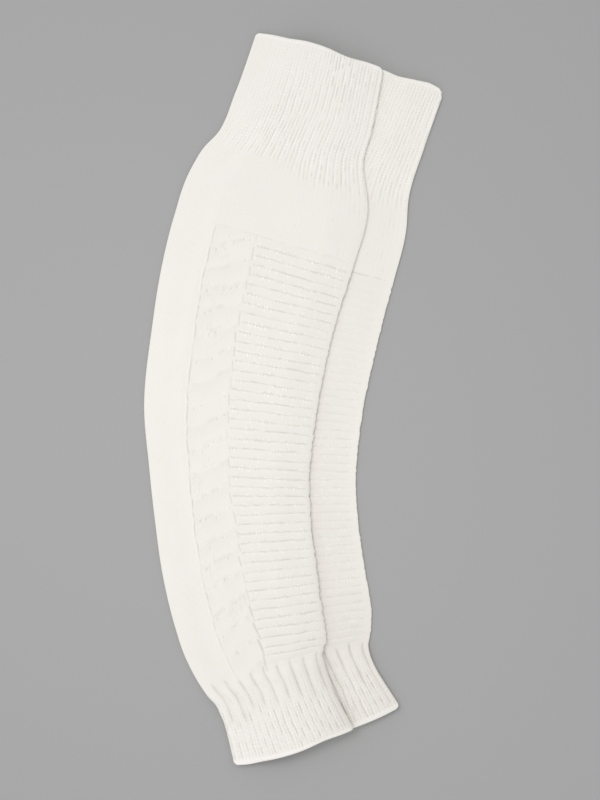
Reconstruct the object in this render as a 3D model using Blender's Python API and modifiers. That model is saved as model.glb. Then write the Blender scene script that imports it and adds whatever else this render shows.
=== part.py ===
"""A pair of footless wool stockings (leg warmers), laid flat, the near one on the rear one.

Each stocking is an open-ended knitted tube, flattened so that its upper and under sides
lie together with rounded folds at its left and right. It is knitted in seven pieces.

Frame: metres, +Z up, Z = 0 is the surface they lie on, +Y runs up the legs to the top
cuffs, and the origin is under the middle of the pair.
"""

from collections import namedtuple
from math import pi

import bmesh
import bpy
import numpy as np

MM = 0.001
WALL = 2.0 * MM  # knitted cloth
LAID = 5.6 * MM  # a stocking laid flat: two walls and the hollow between them
SEAM = 0.3 * MM  # gap between neighbouring panels
RING_SEAM = 0.4 * MM  # gap at a seam round the leg, measured down its middle
REST = 0.3 * MM  # gap between the rear stocking and the near one that lies on it
HEM = 0.8 * MM  # the first row of facets along each seam, so that the pieces' edges line up
FOLD = LAID / 2  # outer radius of the folds along the sides
QUARTER = FOLD * pi / 2  # distance round the cloth from the middle of a fold to its flat

# The left part of the near stocking reaches past the rear one and comes down to the floor.
RISE = LAID + REST  # how high the rest of the near stocking lies
SLOPE = 16.0 * MM  # the width of cloth that comes down

# Cross-sections in millimetres and degrees, in a plan whose own origin is near the knee.
# x, y: its middle. tilt: how far its right end is turned up. width: left fold to right fold.
# bow: how far its middle stands out towards the top cuff. plain, cable: the distance from
# the left fold to where the plain panel and the cable panel end. up: the distance from the
# left fold past which the cloth lies on the other stocking, or 0 if it all lies on the floor.
Section = namedtuple("Section", "name x y tilt width bow plain cable up")

NEAR = (
    Section("top_mouth", 14.0, 244.7, -16.2, 93.0, 3.0, 30, 60, 36),
    Section("cuff_middle", 2.5, 202.2, -16.2, 99.7, 1.2, 30, 60, 26),
    Section("cuff_low", -6.6, 175.2, -14.1, 105.0, 0.0, 30, 60, 24),
    Section("cuff_base", -10.4, 162.6, -15.0, 117.2, 0.0, 30, 60, 23),
    Section("band_top", -13.9, 149.4, -14.2, 126.0, 0.0, 31, 61, 22),
    Section("band_base", -24.9, 113.2, -16.2, 130.9, 0.0, 31, 61, 21),
    Section("knee_top", -37.2, 67.8, -13.5, 127.6, 0.0, 31, 61, 19),
    Section("knee", -42.3, 41.3, -11.1, 125.0, 0.0, 31, 60, 19),
    Section("calf_top", -49.5, -11.9, -6.0, 120.6, 0.0, 31, 60, 19),
    Section("calf", -49.6, -50.4, -3.5, 113.0, 0.0, 29, 57, 19),
    Section("calf_base", -47.2, -81.9, 1.6, 109.7, 0.0, 28, 56, 20),
    Section("shin", -42.6, -118.0, 4.8, 108.2, 0.0, 28, 57, 21),
    Section("shin_base", -35.8, -154.0, 7.3, 104.0, 0.0, 28, 55, 21),
    Section("ankle", -30.5, -174.3, 8.9, 100.1, 0.0, 28, 55, 20),
    Section("ankle_base", -25.1, -192.9, 17.9, 85.8, 1.5, 25, 46, 18),
    Section("neck", -20.1, -201.8, 18.0, 80.3, 1.0, 23, 42, 18),
    Section("neck_base", -16.2, -211.4, 17.2, 80.2, -0.5, 23, 42, 19),
    Section("ankle_mouth", -4.1, -242.9, 17.2, 87.8, -4.0, 24, 45, 24),
)

REAR = (
    Section("top_mouth", 56.4, 230.9, -16.5, 94.5, 1.2, 30, 60, 0),
    Section("cuff_middle", 37.3, 193.0, -17.0, 105.0, 1.0, 30, 60, 0),
    Section("cuff_base", 20.6, 151.7, -14.0, 114.0, 0.0, 30, 60, 0),
    Section("band_top", 15.8, 136.5, -14.6, 121.8, 0.0, 31, 61, 0),
    Section("band_base", 2.2, 97.8, -13.5, 130.4, 0.0, 31, 61, 0),
    Section("knee_top", -8.0, 59.0, -11.9, 130.8, 0.0, 31, 61, 0),
    Section("knee", -15.8, 19.1, -8.0, 128.3, 0.0, 31, 61, 0),
    Section("calf_top", -19.6, -23.9, -4.0, 122.2, 0.0, 31, 61, 0),
    Section("calf", -17.1, -55.7, -1.0, 112.9, 0.0, 29, 57, 0),
    Section("calf_base", -13.0, -89.9, 2.5, 108.6, 0.0, 28, 56, 0),
    Section("shin", -8.1, -125.1, 5.0, 108.3, 0.0, 28, 57, 0),
    Section("shin_base", -1.9, -155.7, 7.9, 105.3, 0.0, 28, 55, 0),
    Section("ankle", 1.2, -170.9, 9.9, 98.8, 0.0, 28, 53, 0),
    Section("ankle_base", 7.2, -182.4, 14.1, 83.9, 1.5, 25, 48, 0),
    Section("neck", 13.2, -192.2, 19.4, 76.5, 1.0, 23, 45, 0),
    Section("ankle_mouth", 28.8, -227.6, 16.6, 86.2, -5.0, 24, 46, 0),
)

# The pieces of one stocking: the sections that each runs between, and its rows of facets
# apart from the short ones along seams.
Piece = namedtuple("Piece", "name start end rows around colour roughness")
PIECES = (
    Piece("top_cuff", "top_mouth", "cuff_base", 6, "ring", (0.86, 0.83, 0.76), 0.92),
    Piece("upper_band", "cuff_base", "band_base", 4, "ring", (0.89, 0.86, 0.80), 0.88),
    Piece("plain_panel", "band_base", "ankle_base", 18, "plain", (0.90, 0.87, 0.82), 0.88),
    Piece("cable_panel_upper", "band_base", "ankle_base", 18, "cable_upper", (0.89, 0.86, 0.81), 0.90),
    Piece("cable_panel_under", "band_base", "ankle_base", 18, "cable_under", (0.87, 0.84, 0.79), 0.90),
    Piece("ridge_panel", "band_base", "ankle_base", 18, "ridge", (0.87, 0.84, 0.77), 0.93),
    Piece("ankle_cuff", "ankle_base", "ankle_mouth", 5, "ring", (0.84, 0.80, 0.73), 0.93),
)
# facets across each panel's flat part, which the rings have too, so that edges line up
PLAIN_FACETS = 3
CABLE_FACETS = 2
RIDGE_FACETS = 3


def clear_scene():
    for obj in list(bpy.data.objects):
        bpy.data.objects.remove(obj, do_unlink=True)


def wool(name, colour, roughness):
    material = bpy.data.materials.new(name)
    material.use_nodes = True
    shader = material.node_tree.nodes["Principled BSDF"]
    shader.inputs["Base Color"].default_value = (*colour, 1.0)
    shader.inputs["Roughness"].default_value = roughness
    shader.inputs["Metallic"].default_value = 0.0
    return material


def distances(sections):
    """How far down the stocking each section is, along the line through their middles."""
    middles = np.array([(s.x, s.y) for s in sections]) * MM
    steps = np.linalg.norm(np.diff(middles, axis=0), axis=1)
    return np.concatenate([[0.0], np.cumsum(steps)])


def smooth(known_at, known, at):
    """A smooth curve through the known values, read at one distance."""
    slopes = np.gradient(known, known_at)
    i = int(np.clip(np.searchsorted(known_at, at) - 1, 0, len(known_at) - 2))
    span = known_at[i + 1] - known_at[i]
    t = (at - known_at[i]) / span
    start = (1 + 2 * t) * (1 - t) ** 2 * known[i] + t * (1 - t) ** 2 * span * slopes[i]
    end = t * t * (3 - 2 * t) * known[i + 1] - t * t * (1 - t) * span * slopes[i + 1]
    return start + end


def section_at(sections, at):
    """The section at this distance down the stocking, in metres and radians."""
    known_at = distances(sections)
    columns = {}
    for field in Section._fields[1:]:
        known = np.array([getattr(s, field) for s in sections], float)
        known *= pi / 180 if field == "tilt" else MM
        columns[field] = smooth(known_at, known, at)
    return Section("between", **columns)


def plan_point(section, across):
    """The point of the plan at this distance from the section's left fold."""
    share = across / section.width
    bow = section.bow * 4 * share * (1 - share)
    offset = across - section.width / 2
    x = section.x + offset * np.cos(section.tilt) - bow * np.sin(section.tilt)
    y = section.y + offset * np.sin(section.tilt) + bow * np.cos(section.tilt)
    return x, y


def half_round(section):
    """The distance round the cloth from the left fold to the right one."""
    return section.width - 2 * FOLD + 2 * QUARTER


def lift(section, across):
    """How high the cloth lies above the floor."""
    if section.up <= 0.0:
        return 0.0
    share = min(max((across - section.up + SLOPE) / SLOPE, 0.0), 1.0)
    return RISE * share * share * (3 - 2 * share)


def under(distances_round):
    """The same distances on the under side of the cloth, in the order that carries on."""
    return [-distance for distance in reversed(distances_round)]


def cloth_point(section, around):
    """(x, y, z) at this distance round the cloth from the left fold: over it if positive."""
    half = half_round(section)
    distance = min(abs(around), half)
    if distance < QUARTER:
        across = FOLD - FOLD * np.cos(distance / FOLD)
        height = FOLD * np.sin(distance / FOLD)
    elif distance > half - QUARTER:
        across = section.width - FOLD + FOLD * np.cos((half - distance) / FOLD)
        height = FOLD * np.sin((half - distance) / FOLD)
    else:
        across = FOLD + distance - QUARTER
        height = FOLD
    x, y = plan_point(section, across)
    return x, y, FOLD + (height if around > 0 else -height) + lift(section, across)


def columns_of(piece, section):
    """The distances round the cloth of a piece's lengthwise edges, in order."""
    half = half_round(section)
    # from across the section to round the cloth, where the cloth is flat
    plain_end = section.plain - FOLD + QUARTER
    cable_end = section.cable - FOLD + QUARTER
    gap = 0.0 if piece.around == "ring" else SEAM / 2
    plain = [QUARTER / 2, *np.linspace(QUARTER, plain_end - HEM, PLAIN_FACETS + 1)]
    plain += [plain_end - gap]
    cable = [*np.linspace(plain_end + gap, cable_end - gap, CABLE_FACETS + 1)]
    ridge = [*np.linspace(cable_end + gap, half - QUARTER, RIDGE_FACETS + 1)]
    ridge += [half - QUARTER / 2]
    if piece.around == "plain":
        return [*under(plain), 0.0, *plain]
    if piece.around == "ridge":
        return [*ridge, half, *under(ridge)]
    if piece.around == "cable_upper":
        return cable
    if piece.around == "cable_under":
        return under(cable)
    over = [*plain, *cable[1:], *ridge[1:]]
    return [0.0, *over, half, *under(over)]


def rows_of(piece, sections):
    """The distances down the stocking of a piece's rows."""
    at = dict(zip([s.name for s in sections], distances(sections)))
    start, end = at[piece.start], at[piece.end]
    before, after = [], []
    if piece.start != sections[0].name:
        before = [start + RING_SEAM / 2]
        start += HEM
    if piece.end != sections[-1].name:
        after = [end - RING_SEAM / 2]
        end -= HEM
    return [*before, *np.linspace(start, end, piece.rows + 1), *after]


def grid_of(piece, sections):
    """The piece's outer surface: its points by row and column."""
    grid = []
    for at in rows_of(piece, sections):
        section = section_at(sections, at)
        grid.append([cloth_point(section, around) for around in columns_of(piece, section)])
    return np.array(grid)


def cloth_object(name, grid, closed, material, collection):
    """A cloth wall inside the outer surface that the grid's points give."""
    shape = bmesh.new()
    verts = [[shape.verts.new(point) for point in row] for row in grid]
    columns = len(verts[0])
    for upper, lower in zip(verts, verts[1:]):
        for j in range(columns if closed else columns - 1):
            k = (j + 1) % columns
            shape.faces.new((upper[j], lower[j], lower[k], upper[k]))
    mesh = bpy.data.meshes.new(name)
    shape.to_mesh(mesh)
    shape.free()
    mesh.shade_smooth()
    obj = bpy.data.objects.new(name, mesh)
    collection.objects.link(obj)
    obj.data.materials.append(material)
    wall = obj.modifiers.new("wall", "SOLIDIFY")
    wall.thickness = WALL
    wall.offset = -1.0
    wall.use_even_offset = True
    wall.use_rim = True
    return obj


def main():
    clear_scene()
    collection = bpy.data.collections.new("wool_stockings")
    bpy.context.scene.collection.children.link(collection)

    grids = {}
    for prefix, sections in (("near", NEAR), ("rear", REAR)):
        for piece in PIECES:
            grids[prefix, piece.name] = grid_of(piece, sections)

    plan = np.concatenate([grid[..., :2].reshape(-1, 2) for grid in grids.values()])
    middle = (plan.min(axis=0) + plan.max(axis=0)) / 2
    for prefix in ("near", "rear"):
        for piece in PIECES:
            name = f"{prefix}_{piece.name}"
            grid = grids[prefix, piece.name]
            grid[..., :2] -= middle
            material = wool(f"{name}_wool", piece.colour, piece.roughness)
            cloth_object(name, grid, piece.around == "ring", material, collection)


main()
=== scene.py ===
"""The look of a pair of footless wool stockings, laid flat, the near one on the rear one.

Every knitted piece is a dense sheet on the form of its solid: ribs, welts, cable steps, seams
and turned mouths are in the mesh, and single stitches are in the wool's bump. Metres.
"""

from collections import namedtuple
from math import atan, pi, radians, sqrt

import bpy
import numpy as np
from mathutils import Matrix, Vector


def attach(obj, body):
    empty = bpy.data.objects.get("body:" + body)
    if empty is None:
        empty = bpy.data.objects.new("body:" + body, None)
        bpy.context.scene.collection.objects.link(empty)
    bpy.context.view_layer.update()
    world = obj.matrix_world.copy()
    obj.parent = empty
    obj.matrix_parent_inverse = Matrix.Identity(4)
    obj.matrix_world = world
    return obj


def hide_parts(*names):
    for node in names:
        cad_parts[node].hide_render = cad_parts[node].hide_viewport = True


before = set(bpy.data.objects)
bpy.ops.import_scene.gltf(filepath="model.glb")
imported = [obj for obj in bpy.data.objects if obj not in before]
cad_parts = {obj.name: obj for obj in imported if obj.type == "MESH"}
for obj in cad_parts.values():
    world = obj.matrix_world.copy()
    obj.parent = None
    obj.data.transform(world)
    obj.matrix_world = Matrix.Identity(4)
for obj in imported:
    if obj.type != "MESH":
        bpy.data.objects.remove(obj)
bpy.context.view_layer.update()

MM = 0.001
WALL = 2.0 * MM  # knitted cloth
THIN_WALL = 0.35  # its thickness at a mouth's folds, as a share of that
LAID = 5.6 * MM  # a stocking laid flat
REST = 0.3 * MM  # gap between the two stockings
FOLD = LAID / 2  # outer radius of the folds along the sides
QUARTER = FOLD * pi / 2  # distance round the cloth from the middle of a fold to its flat
SUNK = 0.1 * MM  # how far the near one's right fold sinks into the rear one's soft cloth
RISE = LAID + REST  # how high the near stocking lies where it is on the rear one
SLOPE = 16.0 * MM  # the width of cloth that comes down to the floor
PRESSED = 0.38  # the height of a fold, as a share of the laid stocking's
ANKLE_PRESSED = 0.75  # the same at the ankle cuff
PRESSED_WIDTH = 28.0 * MM  # over which the cloth gets there
SQUARE = 2.6  # 1 for a round fold, more for one with a flatter edge
LOW_DOWN = 0.6  # 0 for a fold that is widest halfway up, more for one that is widest lower

# Cross-sections in millimetres and degrees, as the solids have them. x, y: the middle.
# tilt: how far the right end is turned up. width: left fold to right fold. bow: how far the
# middle stands out towards the top cuff. plain, cable: from the left fold to these panels'
# ends. up: from the left fold to where the cloth is up on the other stocking, or 0.
Section = namedtuple("Section", "name x y tilt width bow plain cable up")

SECTIONS = {
    "near": (
        ("top_mouth", 14.0, 244.7, -16.2, 93.0, 3.0, 30, 60, 36),
        ("cuff_middle", 2.5, 202.2, -16.2, 99.7, 1.2, 30, 60, 26),
        ("cuff_low", -6.6, 175.2, -14.1, 105.0, 0.0, 30, 60, 24),
        ("cuff_base", -10.4, 162.6, -15.0, 117.2, 0.0, 30, 60, 23),
        ("band_top", -13.9, 149.4, -14.2, 126.0, 0.0, 31, 61, 22),
        ("band_base", -24.9, 113.2, -16.2, 130.9, 0.0, 31, 61, 21),
        ("knee_top", -37.2, 67.8, -13.5, 127.6, 0.0, 31, 61, 19),
        ("knee", -42.3, 41.3, -11.1, 125.0, 0.0, 31, 60, 19),
        ("calf_top", -49.5, -11.9, -6.0, 120.6, 0.0, 31, 60, 19),
        ("calf", -49.6, -50.4, -3.5, 113.0, 0.0, 29, 57, 19),
        ("calf_base", -47.2, -81.9, 1.6, 109.7, 0.0, 28, 56, 20),
        ("shin", -42.6, -118.0, 4.8, 108.2, 0.0, 28, 57, 21),
        ("shin_base", -35.8, -154.0, 7.3, 104.0, 0.0, 28, 55, 21),
        ("ankle", -30.5, -174.3, 8.9, 100.1, 0.0, 28, 55, 20),
        ("ankle_base", -25.1, -192.9, 17.9, 85.8, 1.5, 25, 46, 18),
        ("neck", -20.1, -201.8, 18.0, 80.3, 1.0, 23, 42, 18),
        ("neck_base", -16.2, -211.4, 17.2, 80.2, -0.5, 23, 42, 19),
        ("ankle_mouth", -4.1, -242.9, 17.2, 87.8, -4.0, 24, 45, 24),
    ),
    "rear": (
        ("top_mouth", 56.4, 230.9, -16.5, 94.5, 1.2, 30, 60, 0),
        ("cuff_middle", 37.3, 193.0, -17.0, 105.0, 1.0, 30, 60, 0),
        ("cuff_base", 20.6, 151.7, -14.0, 114.0, 0.0, 30, 60, 0),
        ("band_top", 15.8, 136.5, -14.6, 121.8, 0.0, 31, 61, 0),
        ("band_base", 2.2, 97.8, -13.5, 130.4, 0.0, 31, 61, 0),
        ("knee_top", -8.0, 59.0, -11.9, 130.8, 0.0, 31, 61, 0),
        ("knee", -15.8, 19.1, -8.0, 128.3, 0.0, 31, 61, 0),
        ("calf_top", -19.6, -23.9, -4.0, 122.2, 0.0, 31, 61, 0),
        ("calf", -17.1, -55.7, -1.0, 112.9, 0.0, 29, 57, 0),
        ("calf_base", -13.0, -89.9, 2.5, 108.6, 0.0, 28, 56, 0),
        ("shin", -8.1, -125.1, 5.0, 108.3, 0.0, 28, 57, 0),
        ("shin_base", -1.9, -155.7, 7.9, 105.3, 0.0, 28, 55, 0),
        ("ankle", 1.2, -170.9, 9.9, 98.8, 0.0, 28, 53, 0),
        ("ankle_base", 7.2, -182.4, 14.1, 83.9, 1.5, 25, 48, 0),
        ("neck", 13.2, -192.2, 19.4, 76.5, 1.0, 23, 45, 0),
        ("ankle_mouth", 28.8, -227.6, 16.6, 86.2, -5.0, 24, 46, 0),
    ),
}

# The knit
STITCH = 2.1 * MM  # width of a plain stitch
COURSE = 1.6 * MM  # height of a plain stitch
RIB_COURSE = 2.3 * MM  # height of a stitch in the ribs
WELTS = 46  # cross ridges on a ridge panel
WELT_GROOVE = 0.42 * MM  # half-width of the groove between two welts
WELT_DEPTH = 0.50 * MM
ZIGZAG = 0.55 * MM  # how far a welt's groove strays to each side where it goes from loop to loop
LOOP_HEIGHT = 0.34 * MM  # how far the loops beside it stand up
TOP_RIBS = 21  # on one side of the top cuff
ANKLE_RIBS = 19  # on one side of the ankle cuff
ANKLE_SHIFT = 0.2  # how far the first of them lies past the left fold, in ribs
RIB_GROOVE = 0.40 * MM
RIB_DEPTH = 0.8 * MM
SEAM_GROOVE = 0.45 * MM
SEAM_DEPTH = 0.4 * MM
GATHER_DEPTH = 1.4 * MM
CABLE_STEP = 15.5 * MM  # from one diagonal of the cable panel to the next
CABLE_RISE = radians(29)  # of each diagonal, up to the right
TURNED_IN = 8 * MM  # how far the inside of a mouth is made
TURNED_COURSE = 0.4  # the height of its rows in the stitch map, in courses
TUCKED = 0.6 * MM  # how far each piece's first row lies under the piece above it
TUCKED_DEEP = 0.06 * MM
SWELL = 0.45 * MM  # how far the soft cloth dips here and there
LEAST_STITCH = 0.2  # how much single stitches show in the plain cloth, as a share of the ribs

# How each stocking's knit and wool look: the near one's value, and the rear one's.
LOOKS = {
    "seed": (1, 2),  # of its unevenness
    "colour": ((0.955, 0.926, 0.888), (0.963, 0.933, 0.890)),  # of the wool's face
    "loft": (1.0, 0.3),  # how plump the cloth is
    "least_rib": (0.30, 0.22),  # how much the top cuff's ribs show anywhere
    "dash": (5 * MM, 3.5 * MM),  # the length of their strokes
    "gaps": (0.75, 0.95),  # how much fainter the grooves are between strokes
    "band_line": (0.35, 0.7),  # how much the line below the band shows
    "welts": (0.91, 0.50),  # how deep the grooves between the welts are
    "faded": (0.0, 0.13),  # how much less so beside the near stocking, and more at the fold
    "least_welt": (0.12, 0.10),  # how much the first ones show
    "first_welts": (0.8, 26.0),  # how many those are
    "smooth_fold": (3 * MM, 5 * MM),  # the width beside the fold without them
    "ragged": (0.7, -0.3),  # how much more uneven the fold is low down
    "aged": (0.58, 0.62),  # the most painted shade, at the wool's lower right
    "aged_low": (0.0, 0.05),  # and all over its lower half, above the ankle
    "rubbed": (0.672, 0.42),  # the most painted shade along the near one's right fold
    "rubbed_width": (1.8 * MM, 7.5 * MM),  # and how far away from it
}
Look = namedtuple("Look", LOOKS)


def ease(value, low, high):
    """From 0 at the low value to 1 at the high one, smoothly."""
    share = np.clip((value - low) / (high - low), 0.0, 1.0)
    return share * share * (3 - 2 * share)


def fade_in(value, start, width):
    """0 up to the start, and 1 from this width past it."""
    return ease(value, start, start + width)


def fade_out(value, end, width):
    """1 up to this width before the end, and 0 past it."""
    return 1 - ease(value, end - width, end)


def even_ramp(value, low, high):
    """Like ease, with a more even slope."""
    share = np.clip((value - low) / (high - low), 0.0, 1.0)
    return share - np.sin(2 * pi * share) / (2 * pi) * 0.45


def at_least(least, share):
    """From this least value, where the share is 0, up to 1."""
    return least + (1 - least) * share


def wave(value):
    """1 at whole numbers, 0 halfway between them."""
    return 0.5 + 0.5 * np.cos(2 * pi * value)


def dip(distance, half_width):
    """A soft groove: 1 at its middle, 0 well away from it."""
    return np.exp(-((distance / half_width) ** 2))


def to_nearest(value, period):
    """Signed distance to the nearest multiple of the period."""
    return value - period * np.round(value / period)


def chance(i, j, seed):
    """A repeatable value from 0 to 1 for each pair of whole numbers."""
    mixed = (np.int64(73856093) * i.astype(np.int64)) ^ (np.int64(19349663) * j.astype(np.int64))
    mixed = (mixed ^ np.int64(83492791 * seed)) & 0x7FFFFFFF
    mixed = (mixed ^ (mixed >> 13)) * 1274126177 & 0x7FFFFFFF
    mixed = (mixed ^ (mixed >> 15)) * 668265263 & 0x7FFFFFFF
    return ((mixed >> 7) & 0xFFFF) / 65535.0


def noise(x, y, seed):
    """Smooth unevenness from 0 to 1, with features about one unit across."""
    x, y = np.broadcast_arrays(x, y)
    i, j = np.floor(x), np.floor(y)
    a, b = ease(x - i, 0.0, 1.0), ease(y - j, 0.0, 1.0)
    near = chance(i, j, seed) * (1 - a) + chance(i + 1, j, seed) * a
    far = chance(i, j + 1, seed) * (1 - a) + chance(i + 1, j + 1, seed) * a
    return near * (1 - b) + far * b


def in_from_fold(distance):
    """How far in from a fold the cloth is, at a distance round it from the middle of the fold."""
    angle = np.minimum(distance / FOLD, pi / 2)
    return FOLD * (1 - np.cos(angle)) ** SQUARE + np.maximum(distance - QUARTER, 0.0)


class Stocking:
    """A laid-flat tube: points from a distance down it and a distance round its cloth."""

    def __init__(self, name, middle):
        sections = [Section(*row) for row in SECTIONS[name]]
        points = np.array([(s.x, s.y) for s in sections])
        steps = np.linalg.norm(np.diff(points, axis=0), axis=1)
        self.name = name
        side = list(SECTIONS).index(name)
        self.look = Look(*(pair[side] for pair in LOOKS.values()))
        self.known_at = np.concatenate([[0.0], np.cumsum(steps)]) * MM
        self.at = dict(zip([s.name for s in sections], self.known_at))
        self.length = self.known_at[-1]
        self.known = {}
        for field in Section._fields[1:]:
            scale = pi / 180 if field == "tilt" else MM
            self.known[field] = np.array([getattr(s, field) for s in sections], float) * scale
        self.known["x"] = self.known["x"] - middle[0]
        self.known["y"] = self.known["y"] - middle[1]
        self.fold_above = None  # (x, y) points along the other one's fold, where that lies on it

    def noise(self, x, y, seed):
        return noise(x, y, seed + self.look.seed)

    def along_line(self, number, down, length, seed):
        """Unevenness from 0 to 1 along each of some numbered lines, different on each."""
        return noise(down / length, 7.0 * number, seed + self.look.seed)

    def read(self, field, down):
        """A field of the section at these distances down, on a smooth curve."""
        known_at, known = self.known_at, self.known[field]
        slopes = np.gradient(known, known_at)
        i = np.clip(np.searchsorted(known_at, down) - 1, 0, len(known_at) - 2)
        span = known_at[i + 1] - known_at[i]
        t = (down - known_at[i]) / span
        start = (1 + 2 * t) * (1 - t) ** 2 * known[i] + t * (1 - t) ** 2 * span * slopes[i]
        end = t * t * (3 - 2 * t) * known[i + 1] - t * t * (1 - t) * span * slopes[i + 1]
        return start + end

    def half(self, down):
        """The distance round the cloth from the left fold to the right one."""
        return self.read("width", down) - 2 * FOLD + 2 * QUARTER

    def edge(self, field, down):
        """Where a panel ends, as a distance round the cloth from the left fold."""
        return self.read(field, down) - FOLD + QUARTER

    def from_left(self, down, around):
        """(distance round from the left fold on either side, whether on the upper side)"""
        half = self.half(down)
        around = np.mod(around, 2 * half)
        over = around <= half
        return np.where(over, around, 2 * half - around), over

    def points(self, down, around):
        """(..., 3) points. around runs from the left fold over the cloth, and on under it."""
        width, half = self.read("width", down), self.half(down)
        distance, over = self.from_left(down, around)
        to_fold = np.minimum(distance, half - distance)
        across = np.where(distance < half / 2, in_from_fold(to_fold), width - in_from_fold(to_fold))
        height = FOLD * np.sin(np.minimum(to_fold / FOLD, pi / 2)) ** (1 / sqrt(SQUARE))
        tilt = self.read("tilt", down)
        share = across / width
        bow = self.read("bow", down) * 4 * share * (1 - share)
        offset = across - width / 2
        x = self.read("x", down) + offset * np.cos(tilt) - bow * np.sin(tilt)
        y = self.read("y", down) + offset * np.sin(tilt) + bow * np.cos(tilt)
        # the folds are pressed thin, and are widest low down
        at_ankle = ease(down, self.at["ankle"], self.at["neck"])
        pressed = 1 - ease(np.minimum(across, width - across), 0.0, PRESSED_WIDTH)
        share_up = 0.5 + np.where(over, height, -height) / LAID
        least = PRESSED + (ANKLE_PRESSED - PRESSED) * at_ankle
        thick = LAID * (1 - (1 - least) * pressed)
        z = thick * share_up ** (1 + LOW_DOWN * pressed)
        # above the ankle the right fold presses down on the other stocking
        sunk = (1 - ease(width - across, 1 * MM, 6 * MM)) * (1 - at_ankle)
        z = z + self.lift(down, across, over, sunk)
        return np.stack(np.broadcast_arrays(x, y, z), axis=-1)

    def lift(self, down, across, over, sunk):
        """How high the cloth lies where it lies on the other stocking."""
        up = self.read("up", down)
        ramp = ease(across, up - SLOPE, up)
        # over the slope the upper side is the tauter one, so it comes down further and more evenly
        taut = over * ease(down, 4 * MM, 30 * MM)
        ramp = ramp + taut * (even_ramp(across, up - SLOPE - 3 * MM, up + 8 * MM) - ramp)
        return np.where(up > MM, RISE * ramp - (REST + SUNK) * sunk, 0.0)

    def right_fold(self):
        """(x, y) points along the right fold."""
        down = np.linspace(0.0, self.length, 400)[:, None]
        return self.points(down, self.half(down))[:, 0, :2]

    def wall(self, down, around):
        """The thickness of the cloth at a mouth: less where the stocking is pressed thin."""
        distance = self.from_left(down, around)[0]
        to_fold = np.minimum(distance, self.half(down) - distance)
        return WALL * at_least(THIN_WALL, ease(to_fold, QUARTER, PRESSED_WIDTH))

    def normals(self, down, around):
        """Unit normals that point out of the cloth."""
        step = 0.15 * MM
        below = self.points(down + step, around)
        above = self.points(down - step, around)
        across = self.points(down, around + step) - self.points(down, around - step)
        normal = np.cross(below - above, across)
        return normal / np.linalg.norm(normal, axis=-1, keepdims=True)


class Cloth:
    """Places on a stocking: how far down and round they are, and the ribs or wales up to them."""

    def __init__(self, stocking, down, around, count):
        self.stocking, self.down, self.around, self.count = stocking, down, around, count
        self.name, self.at, self.look = stocking.name, stocking.at, stocking.look
        self.noise, self.along_line = stocking.noise, stocking.along_line
        self.distance, self.over = stocking.from_left(down, around)
        self.half = stocking.half(down)
        self.across = self.distance / self.half

    def edge(self, field):
        return self.stocking.edge(field, self.down)

    def panel_ends(self, top, bottom):
        """1 over the panels, and 0 within these distances of their upper and lower ends."""
        shown = fade_in(self.down, self.at["band_base"], top)
        return shown * fade_out(self.down, self.at["ankle_base"], bottom)


def layout_middle():
    """The middle of the pair's box in the plan of the section tables."""
    ends = []
    for name in SECTIONS:
        stocking = Stocking(name, (0.0, 0.0))
        down = np.linspace(0.0, stocking.length, 400)[:, None]
        around = np.linspace(0.0, 1.0, 200)[None, :] * stocking.half(down)
        ends.append(stocking.points(down, around)[..., :2].reshape(-1, 2))
    ends = np.concatenate(ends)
    return (ends.min(axis=0) + ends.max(axis=0)) / 2


# ---- relief
# Each gives how far the cloth stands out and its shade: painted shade in grooves and hollows, 0 on the
# face of the cloth, up to 1 where it is darkest, and less than 0 where it is paler than the face, mostly
# as a painted highlight.

RIB_PAINT = 0.60  # the painted shade at the bottom of a rib's groove
GATHER_PAINT = 0.46  # and of a valley where the ankle cuff draws the cloth in
LINE_PAINT = 0.76  # and of a groove between two welts, a seam or a cable's line
RIDGE_PAINT = 0.04  # and a darker tone all over the ridge panel
HOLLOW_PAINT = 0.085  # and in the hollow below each cable diagonal
CABLE_PALE = 0.015  # how much paler the cable panel is all over
FLANK_PAINTED_HIGHLIGHT = 0.30  # the painted highlight on a strand, knot or raised wale beside a groove, and on a mouth's rim
LOOP_PAINTED_HIGHLIGHT = 0.95  # and on a loop that stands up beside a welt's groove

# Where the top cuff's ribs show most: places as shares of its width and length.
Patch = namedtuple("Patch", "across down wide long strength")
RIB_PATCHES = {
    "near": (
        Patch(0.69, 0.18, 0.12, 0.28, 0.65),
        Patch(0.90, 0.12, 0.05, 0.16, 0.40),
        Patch(0.42, 0.68, 0.18, 0.38, 0.50),
        Patch(0.80, 0.95, 0.20, 0.28, 0.45),
        Patch(0.19, 0.90, 0.10, 0.12, 0.25),
    ),
    "rear": (
        Patch(0.92, 0.30, 0.07, 0.35, 0.30),
        Patch(0.85, 0.90, 0.20, 0.22, 0.35),
        Patch(0.70, 0.40, 0.20, 0.40, 0.15),
    ),
}


def rib_strength(cloth, share_down):
    strength = np.full(share_down.shape, cloth.look.least_rib)
    for patch in RIB_PATCHES[cloth.name]:
        aside = (cloth.across - patch.across) / patch.wide
        along = (share_down - patch.down) / patch.long
        strength += patch.strength * np.exp(-(aside**2) - along**2)
    return np.minimum(strength, 1.0) * left_fade(cloth.across, share_down)


def left_fade(across, share_down):
    """The ribs show less towards the left fold, most of all near the mouth."""
    return at_least(0.25, ease(across + 0.22 * share_down, 0.12, 0.38))


def rib_beads(down, number):
    """A groove between ribs is a row of beads, one to a stitch."""
    return 0.8 + 0.2 * np.cos(2 * pi * (down / RIB_COURSE + 0.37 * number))


def stray_strokes(cloth, wale):
    """Short faint strokes along the wales, here and there."""
    patches = cloth.noise(cloth.distance / (11 * MM), cloth.down / (13 * MM), 71)
    strokes = cloth.along_line(np.round(wale), cloth.down, 2.5 * MM, 73)
    shown = ease(patches, 0.5, 0.8) * ease(strokes, 0.45, 0.8)
    return shown * dip(to_nearest(wale, 1.0), 0.2)


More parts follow.
